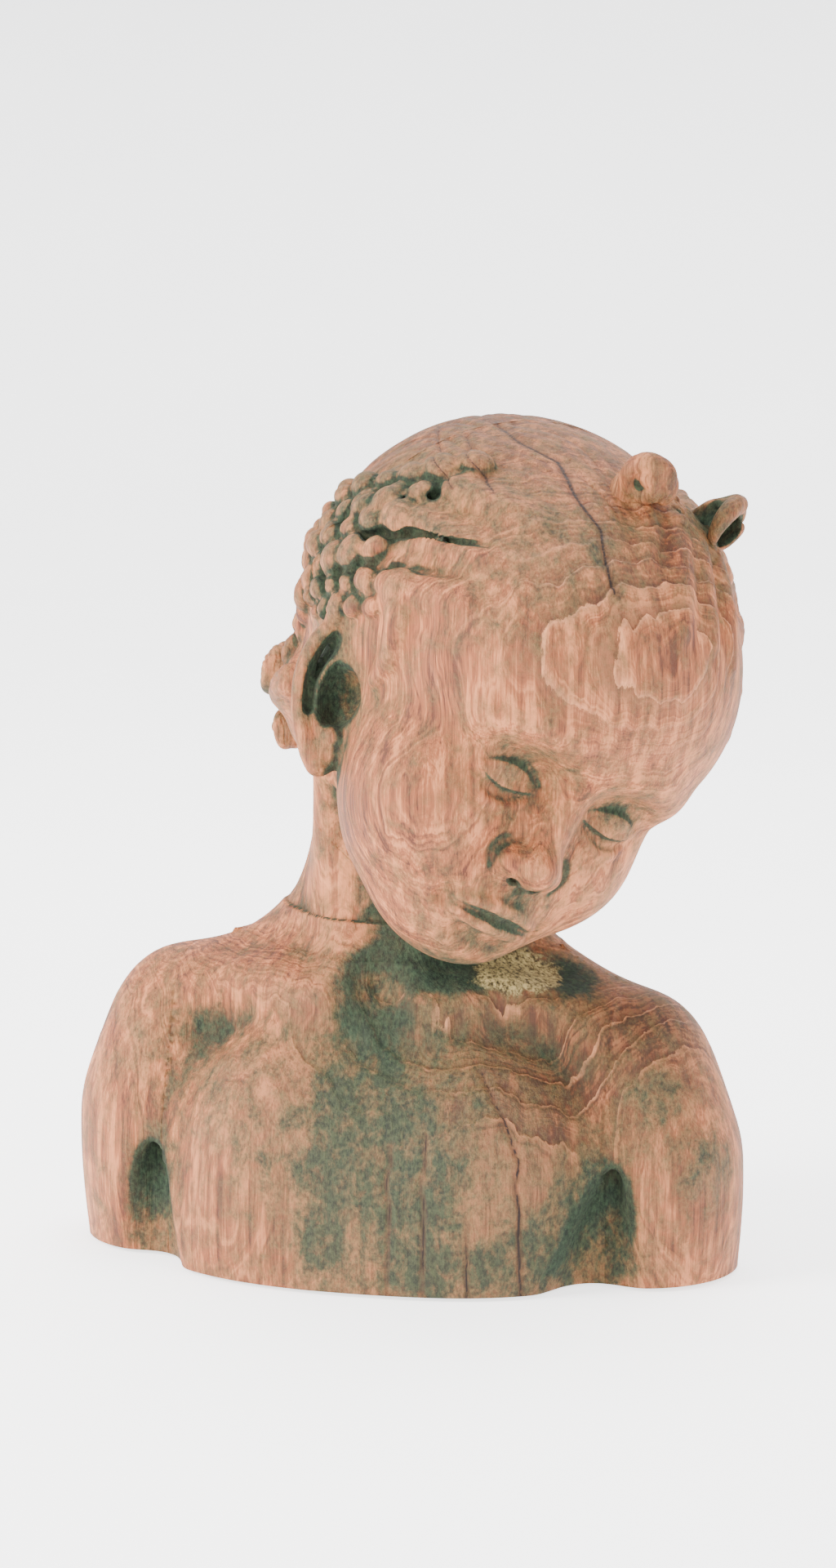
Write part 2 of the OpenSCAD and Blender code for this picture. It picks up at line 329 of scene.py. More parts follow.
def brow_and_eye(c, s):
    """A lowered eye: a ball under a smooth lid, with the lid's fold above it and its edge below."""
    c.path(smooth_curve([(s * 11, -74, 6), (s * 27, -77, 10), (s * 45, -66, 6)]), 4.0, 16)
    c.ball((s * 26, -86, -7), (20, 13, 11), 14, cut=True)
    c.ball((s * 28, -62, -10), (16, 13.5, 12), 4)

    def arc(height, bow, half_width):
        return [(s * 28 + half_width * t, -78, height + bow * t ** 2) for t in np.linspace(-1, 1, 7)]

    draw(c, arc(-3.0, -5.5, 13.5), (0.2, 0.8, 0.8, 0.2), 2.2, 0.2, cut=True, on=c)
    draw(c, arc(-15.0, 3.6, 13.0), (0.8, 1.6, 1.6, 0.8), 2.0, -0.6, on=c)
    draw(c, arc(-17.3, 4.4, 14.0), (0.2, 0.9, 0.9, 0.3), 1.2, 0.2, cut=True, on=c)
    draw(c, arc(-21.5, 4.5, 11.5), (0.8, 1.6, 1.6, 0.8), 3.0, -0.5, on=c)


def nose(c):
    c.path([(0, -72, 4), (0, -76.5, -10), (0, -83, -26), (0, -86.5, -34)], [5.0, 5, 6.2, 7.2], 11)
    c.ball((0, -86, -35), (8.5, 7.5, 7), 6)
    for s in SIDES:
        c.ball((s * 9.5, -79.5, -37.5), (6.0, 7.5, 5.4), 5)
        c.ball((s * 5, -83, -43.6), (2.8, 4.6, 2.2), 2.2, cut=True)
    for s in SIDES:
        draw(c, [(s * 14.5, -80, -31), (s * 17, -78, -37), (s * 14.5, -78, -43)], (0.2, 1.0, 0.3), 3.5, 0.4,
             cut=True, on=c)
    draw(c, [(0, -84, -46), (0, -84, -53)], (1.6, 2.2), 4, 0.8, cut=True, on=c)


def mouth(c):
    """Closed and at rest, its corners level."""
    c.ball((0, -61, -58), (27, 20, 19), 15)
    upper = [(-19, -78, -60), (-11, -82, -57.4), (-4, -84, -55.8), (0, -84, -56.6),
             (4, -84, -55.8), (11, -82, -57.4), (19, -78, -60)]
    draw(c, upper, (1.0, 2.4, 2.9, 2.7, 2.9, 2.4, 1.0), 3.5, -0.6, on=c)
    lower = [(-15, -78, -63.4), (-8, -82, -65.4), (0, -84, -66), (8, -82, -65.4), (15, -78, -63.4)]
    draw(c, lower, (1.6, 3.3, 3.6, 3.3, 1.6), 4, -0.4, on=c)
    line = [(-20.5, -78, -60.6), (-12, -82, -60.8), (-4, -84, -60.2), (0, -84, -61),
            (4, -84, -60.2), (12, -82, -60.8), (20.5, -78, -60.6)]
    draw(c, line, (0.4, 0.8, 0.8, 0.4), 2.2, 0.1, cut=True, on=c)
    for s in SIDES:
        draw(c, [(s * 22.5, -76, -58.5), (s * 22.5, -76, -63)], (1.2, 1.2), 5, 0.6, cut=True, on=c)
    draw(c, [(-9, -84, -73), (0, -86, -74), (9, -84, -73)], (1.6, 2.5, 1.6), 9, 1.0, cut=True, on=c)


EAR_SIZE = 1.1


def ear(c, s):
    """One ear, drawn in a frame of its own: forwards, up the ear, and out from the head."""
    flare, lean = math.radians(30), math.radians(12)
    forwards = np.array([-s * math.sin(flare), -math.cos(flare), 0])
    out = np.array([s * math.cos(flare), -math.sin(flare), 0])
    up = math.cos(lean) * np.array([0, 0, 1]) - math.sin(lean) * forwards
    along = math.cos(lean) * forwards + math.sin(lean) * np.array([0, 0, 1])
    place = Place((s * 58, -5, -28), np.stack([along, up, out], 1))
    c.ball(place.outside((0, -1, 9)), 10, 3, cut=True)
    near = (np.abs(c.p - floats(place.at)).max(1) < 48 + c.reach).nonzero()[0]
    if not len(near):
        return
    e = Clay(place.inside(c.p[near]) / EAR_SIZE, c.reach)
    e.ball((-3, 1, 1), (15, 27, 6.5))
    e.ball((-1, -21, 3), (8.5, 9, 5), 5)
    rim = [(6, 0, 1), (10, 9, 4), (9, 20, 6), (2, 27, 7), (-9, 26, 8), (-16, 15, 9), (-17, 2, 9),
           (-13, -11, 7.5), (-7, -20, 6), (0, -27, 4)]
    e.path(smooth_curve(rim), np.interp(np.arange(55), [0, 8, 30, 54], [2.4, 3.4, 3.4, 4.4]), 2)
    fold = [(1, 18, 5), (-7, 12, 6.5), (-10, 0, 7.5), (-7, -11, 6.5), (-1, -15, 5.5)]
    e.path(smooth_curve(fold), 2.2, 2.5)
    groove = [(4, 20, 7.6), (-4, 21.5, 8.1), (-11.5, 13, 9.1), (-13, 0, 9.6), (-10, -10, 8.6)]
    e.path(smooth_curve(groove), 1.2, 3, cut=True)
    e.ball((0, -1, 8), (8.5, 13, 9.5), 2.5, cut=True)
    e.ball((2, -3, 3), (6, 8, 6), 2.5, cut=True)
    e.ball((9.5, -3, 4), (3.6, 6.5, 4.4), 3)
    e.ball((2, -15, 6), (4, 3, 3), 2.5)
    c.add(near, e.f * EAR_SIZE, 3)


def braid(c, points, pitch=13.0, thick=7.0):
    """A plait lying on the head: plump strands that cross it, leaning to either side in turn."""
    line = smooth_curve(points, 30)
    length = np.concatenate([[0], np.cumsum(np.linalg.norm(np.diff(line, axis=0), axis=1))])
    for n, at in enumerate(np.arange(0, length[-1] - 1, pitch / 2)):
        i = min(int(np.searchsorted(length, at)), len(line) - 2)
        uneven = math.sin(2.3 * n + points[0][0]) * 0.12
        (here,), (out,) = on_head(BARE, line[i:i + 1], 3 * uneven)
        along = line[i + 1] - line[i]
        along -= out * (along @ out)
        along /= np.linalg.norm(along)
        across = np.cross(out, along)
        side = 1 if n % 2 else -1
        lean = math.radians(30 + 60 * uneven) * side
        forwards = math.cos(lean) * along + math.sin(lean) * across
        sideways = np.cross(out, forwards)
        size = thick * (1 + uneven - 0.22 * at / length[-1])
        c.ball(here + side * 0.82 * size * across, (1.22 * size, 0.95 * size, 0.9 * size), 1.8,
               spin=np.stack([forwards, sideways, out], 1))


def hair(c):
    """Braids on both sides, locks round the ears, and hair drawn up to the topknot and down to the nape."""
    for s in SIDES:
        draw(c, [(s * 76, -4, 44), (s * 74, -22, 46), (s * 68, -38, 52)], (7, 5, 2), 9, -3)
        draw(c, [(s * 70, -6, 64), (s * 64, -22, 70), (s * 56, -34, 72)], (7, 5, 2), 9, -3)
        draw(c, [(s * 78, -18, 20), (s * 74, -32, 26), (s * 68, -44, 34)], (6, 5, 2), 9, -3)
        braid(c, [(s * 66, 0, 68), (s * 75, 9, 55), (s * 78, 27, 39), (s * 72, 46, 22), (s * 60, 64, 0),
                  (s * 44, 76, -24)])
        braid(c, [(s * 80, 0, 34), (s * 81, 14, 25), (s * 79, 30, 12), (s * 72, 46, -2), (s * 60, 60, -20),
                  (s * 44, 70, -40)])
        braid(c, [(s * 79, -16, 15), (s * 80, -2, 8), (s * 78, 16, -2), (s * 72, 34, -14)], 11.5, 5.6)
        draw(c, [(s * 82, 14, 24), (s * 79, -8, 40), (s * 74, -24, 47), (s * 67, -35, 55)],
             (1.8, 1.3, 0.3), 2.5, 1.0, cut=True)
        draw(c, [(s * 78, 8, 45), (s * 72, -1, 57), (s * 65, -8, 67)], (1.6, 1.2, 0.3), 2.5, 0.8, cut=True)
        draw(c, [(s * 80, -10, 25), (s * 76, -24, 32), (s * 69, -38, 40)],
             (1.2, 0.8, 0.2), 2.5, 0.8, cut=True)
        draw(c, [(s * 78, -20, 22), (s * 76, -28, 10), (s * 73, -30, -2), (s * 70, -26, -14)],
             (6, 5, 4, 2), 5)
        draw(c, [(s * 50, 50, -50), (s * 38, 64, -58), (s * 22, 74, -60)], (7, 6, 6), 8)
    draw(c, [(-2, -18, 99), (0, -38, 94), (1, -54, 83), (3, -68, 66)], (8, 6, 4, 2), 7, -1)
    draw(c, [(9, -24, 98), (12, -40, 92), (15, -54, 80), (20, -64, 66)], (7, 6, 4, 2), 5, -1)
    draw(c, [(19, -24, 96), (25, -40, 88), (30, -54, 74), (36, -60, 62)], (7, 6, 5, 2), 5, -1)
    draw(c, [(-14, -22, 98), (-14, -38, 92), (-16, -52, 82)], (6, 4, 1), 6, -1)
    for n in range(4):
        wave = [(20 + 3 * n, -14 + 9 * n, 95), (38, -22 + 10 * n, 86), (50, -14 + 10 * n, 76),
                (62, -18 + 11 * n, 64), (72, -8 + 11 * n, 50)]
        draw(c, wave, (5, 4.5, 4, 3), 6, -1)


FACE_AND_HAIR = Shapes()
for side in SIDES:
    brow_and_eye(FACE_AND_HAIR, side)
nose(FACE_AND_HAIR)
mouth(FACE_AND_HAIR)
hair(FACE_AND_HAIR)


def head(q, reach):
    c = Clay(q, reach)
    skull(c)
    FACE_AND_HAIR.blend_into(c)
    for s in SIDES:
        ear(c, s)
    return c.f


def bust(points, reach=FAR):
    """The whole carved figure without its separate curls."""
    f = trunk(points, reach)
    q = HEAD.inside(points)
    near = ((q * q).sum(1) < (150 + min(reach, 200)) ** 2).nonzero()[0]
    if len(near):
        f[near] = smooth_min(f[near], head(q[near], reach), 12)
    return f


# ---- separate curls ----


def spiral(c, centre, axis_turn, radius, thick, turns, rise):
    """A curl of hair: a tube wound inwards round an axis, climbing as it goes."""
    t = np.linspace(0, 1, 34)
    angle = 2 * math.pi * turns * t
    r = radius * (1 - 0.62 * t)
    curve = np.stack([r * np.cos(angle), rise * t, r * np.sin(angle)], 1) @ axis_turn.T + centre
    c.path(curve, thick * (1 - 0.35 * t), 1.2, join=0.8)


def topknot_right(p, reach=FAR):
    """The curl on the figure's right: a plump coil that leans over its own hollow."""
    c = Clay(p, reach)
    c.path([(2, 2, -2), (-1, 3, 8)], [8.5, 8], 3)
    spiral(c, (-1, 0, 15), turn("z", -30) @ turn("x", 10), 8.0, 5.2, 1.3, -5)
    return c.f


def topknot_left(p, reach=FAR):
    """The curl on the figure's left: an open loop like a shell."""
    c = Clay(p, reach)
    c.path([(-2, 2, -2), (2, 3, 7)], [8.5, 7.5], 3)
    spiral(c, (4, 0, 14), turn("z", 38) @ turn("x", -12), 10.5, 4.4, 1.1, -6)
    c.ball((4, 4, 13), (10, 4, 10), 3)
    c.ball((4, -4, 14), (6, 6, 6), 3, cut=True)
    return c.f


def topknot_knot(p, reach=FAR):
    c = Clay(p, reach)
    c.ball((0, 0, 2), (9, 15, 9))
    for n in range(-1, 3):
        y = 6 * n - 3
        c.path(smooth_curve([(-9, y - 1, 0), (0, y, 11), (9, y + 2, 0)]), 2.8, 1.6)
    return c.f


def nape_curl(radius):
    def form(p, reach=FAR):
        c = Clay(p, reach)
        c.ball((0, 0, radius * 0.3), (radius, radius, radius * 0.85))
        spiral(c, (0, 0, radius * 0.6), turn("x", 90), radius * 0.84, radius * 0.42, 1.4, radius * 0.5)
        c.ball((0, 0, radius * 1.4), (radius * 0.36, radius * 0.36, radius), 1.2, cut=True)
        return c.f
    return form


# ---- meshes: surface nets on a sparse grid ----


def surface_nets(f, origin, step):
    """Points and quads on the zero surface of samples f, given on a regular grid."""
    inside = f < 0
    shape = np.array(f.shape)

    def window(shift):
        return inside[tuple(slice(d, n - 1 + d) for d, n in zip(shift, shape))]

    corners = [(i, j, k) for i in (0, 1) for j in (0, 1) for k in (0, 1)]
    count = sum(window(shift).astype(np.int8) for shift in corners)
    mixed = (count > 0) & (count < 8)
    cell = np.argwhere(mixed)
    index = np.full(mixed.shape, -1, np.int32)
    index[mixed] = np.arange(len(cell))
    total, crossings = np.zeros((len(cell), 3)), np.zeros(len(cell))
    quads = []
    for axis in range(3):
        u, v = [a for a in range(3) if a != axis]
        for du in (0, 1):
            for dv in (0, 1):
                a = cell.copy()
                a[:, u] += du
                a[:, v] += dv
                b = a.copy()
                b[:, axis] += 1
                fa, fb = f[tuple(a.T)], f[tuple(b.T)]
                crossed = (fa < 0) != (fb < 0)
                at = a.astype(float)
                at[:, axis] += np.where(crossed, fa / np.where(crossed, fa - fb, 1), 0)
                total[crossed] += at[crossed]
                crossings[crossed] += 1
        low = [slice(1, n - 1) for n in shape]
        high = list(low)
        low[axis], high[axis] = slice(0, shape[axis] - 1), slice(1, shape[axis])
        a, b = inside[tuple(low)], inside[tuple(high)]
        edge = np.argwhere(a != b)
        outward = a[tuple(edge.T)]
        if axis == 1:
            u, v = v, u
        ring = []
        for du, dv in ((-1, -1), (0, -1), (0, 0), (-1, 0)):
            q = edge + 1
            q[:, axis] -= 1
            q[:, u] += du
            q[:, v] += dv
            ring.append(index[tuple(q.T)])
        quad = np.stack(ring, 1)
        quad[~outward] = quad[~outward][:, ::-1]
        quads.append(quad)
    return origin + step * total / crossings[:, None], np.concatenate(quads)


def net(form, low, high, step, block=6):
    """Meshes form between two corners. Only blocks of cells near the surface are sampled finely."""
    low, high = np.asarray(low, float), np.asarray(high, float)
    n = np.ceil((high - low) / (step * block)).astype(int)
    middle = [low[a] + (np.arange(n[a]) + 0.5) * step * block - step / 2 for a in range(3)]
    coarse = form(np.stack(np.meshgrid(*middle, indexing="ij"), -1).reshape(-1, 3), FAR).reshape(n)
    f = np.where(coarse < 0, -9, 9).astype(np.float32)
    for axis in range(3):
        f = np.repeat(f, block, axis)
    local = np.stack(np.meshgrid(*[np.arange(block)] * 3, indexing="ij"), -1).reshape(-1, 3)
    active = np.argwhere(np.abs(coarse) < step * block * 1.6)
    for part in np.array_split(active, max(1, len(active) * block ** 3 // 1000000)):
        at = (part[:, None, :] * block + local[None]).reshape(-1, 3)
        f[tuple(at.T)] = spread(lambda some: form(low + some * step, step * block * 2), at)
    return surface_nets(f, low, step)


def settle(p, form, cutters, step):
    """Moves net points onto the surface, and points near a cut onto the cut, so that its edge is crisp."""
    value, gradient = slope(form, p)
    cuts = [cut(p) for cut in cutters]
    near_cut = np.zeros(len(p), bool)
    for c in cuts:
        near_cut |= np.abs(c) < 0.9 * step
    skin = np.abs(value) < 1.3 * step
    for _ in range(3):
        length = np.maximum((gradient ** 2).sum(1), 0.2)
        shift = -(value / length)[:, None] * gradient
        size = np.maximum(np.linalg.norm(shift, axis=1), 1e-9)
        shift *= np.minimum(1, 0.6 * step / size)[:, None]
        p = np.where(skin[:, None], p + shift, p)
        for cut in cutters:
            c = cut(p)
            hold = near_cut & (np.abs(c) < 1.5 * step)
            steep = np.stack([cut(p + d) - cut(p - d) for d in np.eye(3) * 0.01], 1) / 0.02
            steep /= np.maximum(np.linalg.norm(steep, axis=1), 1e-6)[:, None]
            p = np.where(hold[:, None], p - c[:, None] * steep, p)
        value, gradient = slope(form, p)
    normal = gradient / np.maximum(np.linalg.norm(gradient, axis=1), 1e-6)[:, None]
    return p, normal, value


# ---- what the wood shows ----
PITH = np.array([14.0, 70.0])  # x and y of the log's heart
RING_STEP = 7.5
# Where the rings swell out or in round a knot or a hollow: centre, size and how far
SWELLS = (
    ((125, -57, 260), (46, 46, 38), 19),
    ((36, -38, 118), (70, 40, 40), -13),
    ((-30, -40, 110), (30, 30, 24), 8),
)


def ring_phase(p):
    """Growth rings round an upright pith behind the figure, counted outwards, with ragged fibres."""
    r = np.hypot(p[:, 0] - PITH[0], p[:, 1] - PITH[1]) + 0.05 * p[:, 2]
    for centre, size, rise in SWELLS:
        d = (p - np.array(centre)) / np.array(size)
        r += rise * np.exp(-(d * d).sum(1))
    r += 4.0 * noise(p, (55, 55, 90), 3, 2) + 1.4 * noise(p, (16, 16, 30), 11, 2)
    return r / RING_STEP + 0.2 * noise(p, (7, 7, 24), 21, 2) + 0.06 * noise(p, (2.2, 2.2, 9), 22, 2)


# Where weathering has left the rings as steps: centre, size and strength
STEPPED = (
    ((113, -59, 287), (34, 40, 26), 1.0),
    ((101, -86, 262), (34, 30, 24), 0.9),
    ((128, -46, 270), (22, 40, 30), 0.8),
    ((33, -42, 104), (46, 30, 22), 1.0),
    ((70, -36, 86), (34, 34, 28), 1.0),
    ((104, -12, 108), (24, 34, 22), 0.6),
    ((-20, -40, 100), (24, 24, 16), 0.5),
    ((60, -50, 20), (16, 30, 16), 0.5),
)
# Patches of green stain, in the same way
STAINS = (
    ((18, -60, 60), (50, 30, 60), 0.55),
    ((-3, -55, 82), (15, 20, 15), 1.0),
    ((-8, -63, 57), (13, 20, 16), 0.9),
    ((5, -60, 71), (14, 20, 12), 0.8),
    ((21, -66, 26), (15, 20, 30), 1.0),
    ((20, -63, 60), (13, 20, 15), 0.7),
    ((-14, -68, 20), (12, 20, 18), 0.9),
    ((-66, -45, 79), (24, 24, 22), 0.45),
    ((-33, -64, 50), (22, 24, 24), 0.4),
    ((109, -25, 78), (12, 22, 15), 0.8),
    ((129, -18, 49), (11, 22, 16), 0.8),
    ((71, -8, 119), (14, 20, 12), 1.0),
    ((84, -36, 22), (20, 30, 34), 1.0),
    ((64, -54, 16), (14, 22, 16), 0.7),
    ((45, -62, 12), (20, 22, 14), 0.5),
    ((34, -45, 135), (22, 30, 13), 1.0),
    ((0, -36, 124), (20, 18, 11), 0.4),
    ((-89, -22, 100), (20, 30, 20), 0.35),
    ((33, -40, 100), (46, 30, 26), 0.1),
    ((-92, -20, 24), (14, 34, 34), 0.9),
    ((72, -80, 300), (26, 40, 26), 0.4),
    ((30, -60, 318), (24, 40, 18), 0.4),
    ((98, -70, 295), (20, 30, 22), 0.35),
    ((60, 40, 300), (60, 60, 40), 0.3),
    ((0, 70, 60), (60, 30, 60), 0.5),
    ((-120, 10, 20), (30, 40, 20), 0.3),
    (HEAD.outside((-66, -3, -26)), (20, 20, 24), 0.8),
    (HEAD.outside((-80, 26, 22)), (40, 30, 34), 0.6),
    (HEAD.outside((16, -26, 98)), (22, 22, 20), 0.7),
    (HEAD.outside((-26, 78, -60)), (24, 24, 24), 0.6),
    (HEAD.outside((-24, -78, -4)), (16, 16, 14), 0.5),
    (HEAD.outside((24, -78, -4)), (16, 16, 14), 0.5),
    (HEAD.outside((0, -80, -60)), (26, 20, 16), 0.35),
)
# Ground that has gone wrinkled, pale moss on the left collar, and patches coloured a darker brown
WRINKLED = (
    ((-46, -34, 112), (34, 30, 20), 1.0),
    ((-66, -44, 76), (24, 26, 24), 0.7),
    ((20, -38, 116), (40, 20, 9), 0.8),
)
MOSS = (
    ((56, -16, 124), (18, 20, 12), 1.0),
    ((40, -22, 120), (9, 14, 7), 0.8),
)
BROWN = (
    ((36, -44, 98), (62, 40, 30), 1.0),
    ((112, -10, 108), (30, 40, 24), 0.9),
    ((84, -26, 50), (34, 34, 50), 0.55),
    ((20, -60, 50), (60, 30, 54), 1.0),
    ((30, -10, 335), (80, 60, 26), 0.8),
    ((90, -60, 300), (30, 40, 20), 0.35),
)


def patches(p, table):
    """How strongly each point lies in the patches of a table, from 0 to 1."""
    total = np.zeros(len(p))
    for centre, size, strength in table:
        d = (p - np.array(centre)) / np.array(size)
        total += strength * np.exp(-(d * d).sum(1))
    return np.clip(total, 0, 1)


def terraces(p, normal, stepped):
    """Weathering leaves each ring a low step: how far to push the surface out, in millimetres."""
    phase = ring_phase(p)
    out = p[:, :2] - PITH
    out /= np.maximum(np.linalg.norm(out, axis=1), 1e-6)[:, None]
    facing = np.abs((out * normal[:, :2]).sum(1))
    part = phase - np.floor(phase)
    profile = 0.5 - part + 0.9 * ease(part, 0.90, 1.0)
    depth = 1.5 * ease(facing, 0.3, 0.9) * (0.07 + 0.93 * stepped)
    return depth * (profile - 0.45), phase


# How low combed hair reaches, in the head's frame: y from the face to the nape, and z of its edge there
HAIR_LINE = ((-62, -46, -22, 0, 16, 30, 50, 90), (90, 56, 8, -2, -30, -50, -66, -76))


def strands(p):
    """Fine grooves of combed hair, which run from above the forehead to the nape."""
    q = HEAD.inside(p)
    depth = np.zeros(len(p))
    edge = np.interp(q[:, 1], *HAIR_LINE)
    mask = ease(q[:, 2] - edge, 0, 10) * ease(np.linalg.norm(q, axis=1), 60, 75)
    mask *= ease(q[:, 1], -60, -10) * 0.8 + 0.2
    near = (mask > 0.01).nonzero()[0]
    q = q[near]
    around = np.arctan2(q[:, 0], 0.66 * q[:, 1] + 0.75 * q[:, 2])
    along = 0.66 * q[:, 2] - 0.75 * q[:, 1]
    around += 0.05 * np.sin(along / 10 + 3 * around) + 0.05 * noise(q, (30, 30, 30), 41, 2)
    coarse = np.abs(np.sin(17 * around))
    fine = np.abs(np.sin(43 * around + 2 * noise(q, 25, 43, 1)))
    depth[near] = -mask[near] * (0.8 * (1 - coarse) ** 2 + 0.45 * (1 - fine) ** 2)
    return depth


# Drying checks: the points each runs through, x and z on the front, and how wide it gapes
CHECKS = (
    (((40, 340), (72, 327), (94, 303), (102, 281)), 0.5),
    (((45, 90), (56, 72), (62, 56), (62, 0)), 0.7),
    (((26, 66), (26, 30), (25, 0)), 0.6),
    (((12, 62), (12, 30), (11, 0)), 0.45),
    (((43, 32), (42, 0)), 0.5),
    (((17, 337), (37, 318)), 0.3),
    (((33, 335), (54, 317)), 0.35),
)


SEAM_FADE = 1.5  # how near a cut the carved texture fades out, so that blocks meet


def check_distance(p):
    """Distance to the nearest drying check's edge, in millimetres, for points on the front."""
    best = np.full(len(p), 20.0)
    wander = 0.9 * noise(np.stack([0 * p[:, 0], 0 * p[:, 0], p[:, 2]], 1), 16, 51, 3)
    for line, width in CHECKS:
        line = np.array(line, float)
        order = np.argsort(line[:, 1])
        z = np.clip(p[:, 2], line[:, 1].min(), line[:, 1].max())
        x = np.interp(z, line[order, 1], line[order, 0])
        lean = np.interp(z, line[order, 1], np.gradient(line[order, 0], line[order, 1]))
        taper = 1 - 0.7 * np.clip((z - line[:, 1].mean()) / max(np.ptp(line[:, 1]) / 2, 1), 0, 1)
        aside = (p[:, 0] - x - wander) / np.sqrt(1 + lean ** 2)
        d = np.hypot(aside, p[:, 2] - z) - width * taper * 0.5
        best = np.minimum(best, np.where(p[:, 1] < 12, d, 20))
    return best


def hollow(form, p, normal, depths):
    """How deep in a recess each point lies, from 0 in the open to 1, judged at some depths."""
    total = np.zeros(len(p))
    for d in depths:
        reached = spread(lambda part: form(part[:, :3] + part[:, 3:] * d, 30.0), np.hstack([p, normal]))
        total += 1 - np.clip(reached / d, 0, 1)
    return total / len(depths)


def put(name, data):
    """A new object in the scene."""
    item = bpy.data.objects.new(name, data)
    bpy.context.scene.collection.objects.link(item)
    return item


def carved(name, form, box, step, place=None, cutters=()):
    """A form meshed and cut, with the wood's texture carved into it."""
    fine = step * 1.0

    def cut_form(p, reach=FAR):
        f = form(p, reach)
        for cut in cutters:
            f = np.maximum(f, cut(p))
        return f

    points, quads = net(cut_form, box[0], box[1], fine)
    points, normal, value = settle(points, form, cutters, fine)
    cap = np.zeros(len(points), int)
    gaps = [np.abs(cut(points)) for cut in cutters]
    cuts = [gap < 0.02 * fine for gap in gaps]
    for number, on in enumerate(cuts):
        cap[on & (value < -0.2 * fine)] = number + 1
    # These two measures of how closed in each point lies drive the painted shade in the wood's hollows
    recess = hollow(form, points, normal, (2.5, 5.0, 9.0))
    broad_shade = hollow(form, points, normal, (16.0, 28.0))
    if place is not None:
        points, normal = place.outside(points), normal @ place.axes.T
    stepped = patches(points, STEPPED)
    step_out, phase = terraces(points, normal, stepped)
    groove = check_distance(points)
    wrinkle = 0.55 * patches(points, WRINKLED) * noise(points, (7, 7, 5), 61, 3)
    push = step_out + wrinkle + strands(points) - 0.9 * (1 - ease(groove, 0, 1.2))
    for gap in gaps:
        push *= ease(gap, 0, SEAM_FADE)
    points = points + normal * push[:, None]
    mesh = bpy.data.meshes.new(name)
    mesh.from_pydata(points * MM, [], quads.tolist())
    mesh.validate()
    mesh.shade_smooth()
    shown = {"ring": phase, "stepped": stepped, "check": groove, "recess": recess, "broad_shade": broad_shade,
             "stain": patches(points, STAINS), "moss": patches(points, MOSS),
             "brown": patches(points, BROWN)}
    for key, values in shown.items():
        mesh.attributes.new(key, "FLOAT", "POINT").data.foreach_set("value", values.astype(np.float32))
    mark_cut_edges(mesh, cuts, cap)
    return put(name, mesh)


def mark_cut_edges(mesh, cuts, cap):
    """Sharp edges where a cut face meets the carved skin."""
    def read(items, key):
        out = np.empty(len(items), np.int32)
        items.foreach_get(key, out)
        return out

    corner, edge = read(mesh.loops, "vertex_index"), read(mesh.loops, "edge_index")
    start = read(mesh.polygons, "loop_start")
    flat = np.zeros(len(mesh.polygons), int)
    for number, on in enumerate(cuts):
        every = np.logical_and.reduceat(on[corner], start)
        some = np.maximum.reduceat((cap[corner] == number + 1).astype(int), start) > 0
        flat[every & some] = number + 1
    face = np.repeat(flat, np.diff(np.append(start, len(corner))))
    high, low = np.zeros(len(mesh.edges), int), np.full(len(mesh.edges), 99)
    np.maximum.at(high, edge, face)
    np.minimum.at(low, edge, face)
    sharp = mesh.attributes.new("sharp_edge", "BOOLEAN", "EDGE")
    sharp.data.foreach_set("value", high != low)


# ---- materials ----


def linear(r, g, b):
    """A colour given as it looks on screen, from 0 to 255."""
    def one(v):
        v /= 255
        return v / 12.92 if v <= 0.04045 else ((v + 0.055) / 1.055) ** 2.4
    return (one(r), one(g), one(b), 1)


